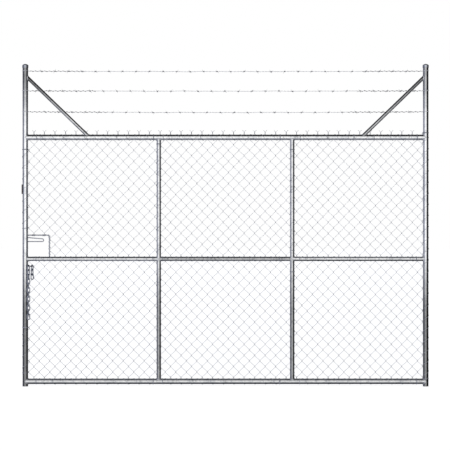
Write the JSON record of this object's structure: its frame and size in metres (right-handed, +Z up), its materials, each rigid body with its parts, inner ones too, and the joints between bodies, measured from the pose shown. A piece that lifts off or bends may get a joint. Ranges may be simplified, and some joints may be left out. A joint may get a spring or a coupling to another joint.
{
  "type": "chain-link security gate leaf",
  "caption": "Galvanised pipe gate leaf filled with chain-link fabric, with strands of barbed wire on braced stiles, a hand hole and a hanging locking chain.",
  "frame": {"origin": "centre of the hinge stile's open lower end", "axes": "+X from the latch stile towards the hinge stile, -Y is the front, +Z up"},
  "size_m": [3.0114, 0.0809, 2.382],
  "materials": {
    "galvanised_pipe": "hot-dip galvanised, satin",
    "cap_steel": "galvanised, satin",
    "fabric_wire": "galvanised wire, bright",
    "lacing_wire": "galvanised wire, dull",
    "barbed_wire": "galvanised wire, dull",
    "galvanised_rod": "galvanised, satin",
    "chain_steel": "galvanised, dull",
    "bare_steel": "bare, dark brown, matt"
  },
  "bodies": {
    "leaf": {"latch_stile": "galvanised_pipe", "hinge_stile": "galvanised_pipe", "latch_stile_cap": "cap_steel", "hinge_stile_cap": "cap_steel", "top_rail": "galvanised_pipe", "bottom_rail": "galvanised_pipe", "mid_rail_latch": "galvanised_pipe", "mid_rail_centre": "galvanised_pipe", "mid_rail_hinge": "galvanised_pipe", "upright_latch": "galvanised_pipe", "upright_hinge": "galvanised_pipe", "brace_latch": "galvanised_pipe", "brace_hinge": "galvanised_pipe", "mesh_latch_bay": "fabric_wire", "mesh_centre_bay": "fabric_wire", "mesh_hinge_bay": "fabric_wire", "lacing_top_rail": "lacing_wire", "lacing_mid_rail": "lacing_wire", "lacing_bottom_rail": "lacing_wire", "lacing_latch_stile": "lacing_wire", "lacing_hinge_stile": "lacing_wire", "lacing_upright_latch": "lacing_wire", "lacing_upright_hinge": "lacing_wire", "barbed_wire_upper": "barbed_wire", "barbed_wire_middle": "barbed_wire", "barbed_wire_lower": "barbed_wire", "hand_hole_frame": "galvanised_rod", "chain_keeper": "galvanised_rod", "strike_lug": "bare_steel", "anchor_link": "chain_steel"},
    "long_link_01": {"long_link_01": "chain_steel"},
    "long_link_02": {"long_link_02": "chain_steel"},
    "long_link_03": {"long_link_03": "chain_steel"},
    "long_link_04": {"long_link_04": "chain_steel"},
    "long_link_05": {"long_link_05": "chain_steel"},
    "long_link_06": {"long_link_06": "chain_steel"},
    "long_link_07": {"long_link_07": "chain_steel"},
    "long_link_08": {"long_link_08": "chain_steel"},
    "long_link_09": {"long_link_09": "chain_steel"},
    "long_link_10": {"long_link_10": "chain_steel"},
    "long_link_11": {"long_link_11": "chain_steel"},
    "long_link_12": {"long_link_12": "chain_steel"},
    "short_link_1": {"short_link_1": "chain_steel"},
    "short_link_2": {"short_link_2": "chain_steel"},
    "short_link_3": {"short_link_3": "chain_steel"}
  },
  "joints": [
    {"name": "long_link_01_swing", "type": "hinge", "parent": "leaf", "child": "long_link_01", "pos_m": [-2.93056, -0.03054, 0.887], "axis": [0.829, -0.5592, 0], "range_deg": [-60, 1]},
    {"name": "long_link_02_swing", "type": "hinge", "parent": "long_link_01", "child": "long_link_02", "pos_m": [-2.93056, -0.03054, 0.8543], "axis": [0.5592, 0.829, 0], "range_deg": [-60, 0]},
    {"name": "long_link_03_swing", "type": "hinge", "parent": "long_link_02", "child": "long_link_03", "pos_m": [-2.93056, -0.03054, 0.8216], "axis": [0.9026, -0.4305, 0], "range_deg": [-20, 0.5]},
    {"name": "long_link_04_swing", "type": "hinge", "parent": "long_link_03", "child": "long_link_04", "pos_m": [-2.93056, -0.03054, 0.7889], "axis": [0.2924, 0.9563, 0], "range_deg": [-20, 0]},
    {"name": "long_link_05_swing", "type": "hinge", "parent": "long_link_04", "child": "long_link_05", "pos_m": [-2.93056, -0.03054, 0.7562], "axis": [0.989, -0.1478, 0], "range_deg": [-20, 0.5]},
    {"name": "long_link_06_swing", "type": "hinge", "parent": "long_link_05", "child": "long_link_06", "pos_m": [-2.93056, -0.03054, 0.7235], "axis": [0, 1, 0], "range_deg": [-20, 0]},
    {"name": "long_link_07_swing", "type": "hinge", "parent": "long_link_06", "child": "long_link_07", "pos_m": [-2.93056, -0.03054, 0.6908], "axis": [1, 0, 0], "range_deg": [-20, 0.5]},
    {"name": "long_link_08_swing", "type": "hinge", "parent": "long_link_07", "child": "long_link_08", "pos_m": [-2.93056, -0.03054, 0.6581], "axis": [0, 1, 0], "range_deg": [-20, 0]},
    {"name": "long_link_09_swing", "type": "hinge", "parent": "long_link_08", "child": "long_link_09", "pos_m": [-2.93056, -0.03054, 0.6254], "axis": [1, 0, 0], "range_deg": [-20, 0.5]},
    {"name": "long_link_10_swing", "type": "hinge", "parent": "long_link_09", "child": "long_link_10", "pos_m": [-2.93056, -0.03054, 0.5927], "axis": [0, 1, 0], "range_deg": [-20, 0]},
    {"name": "long_link_11_swing", "type": "hinge", "parent": "long_link_10", "child": "long_link_11", "pos_m": [-2.93056, -0.03054, 0.56], "axis": [1, 0, 0], "range_deg": [-20, 0.5]},
    {"name": "long_link_12_swing", "type": "hinge", "parent": "long_link_11", "child": "long_link_12", "pos_m": [-2.93056, -0.03054, 0.5273], "axis": [0, 1, 0], "range_deg": [-20, 0]},
    {"name": "short_link_1_swing", "type": "hinge", "parent": "leaf", "child": "short_link_1", "pos_m": [-2.90763, 0.00345, 0.887], "axis": [0.829, -0.5592, 0], "range_deg": [-2, 0.5]},
    {"name": "short_link_2_swing", "type": "hinge", "parent": "short_link_1", "child": "short_link_2", "pos_m": [-2.90763, 0.00345, 0.8543], "axis": [0.5592, 0.829, 0], "range_deg": [-45, 0.5]},
    {"name": "short_link_3_swing", "type": "hinge", "parent": "short_link_2", "child": "short_link_3", "pos_m": [-2.90763, 0.00345, 0.8216], "axis": [0.7193, -0.6947, 0], "range_deg": [-2, 0.5]}
  ]
}
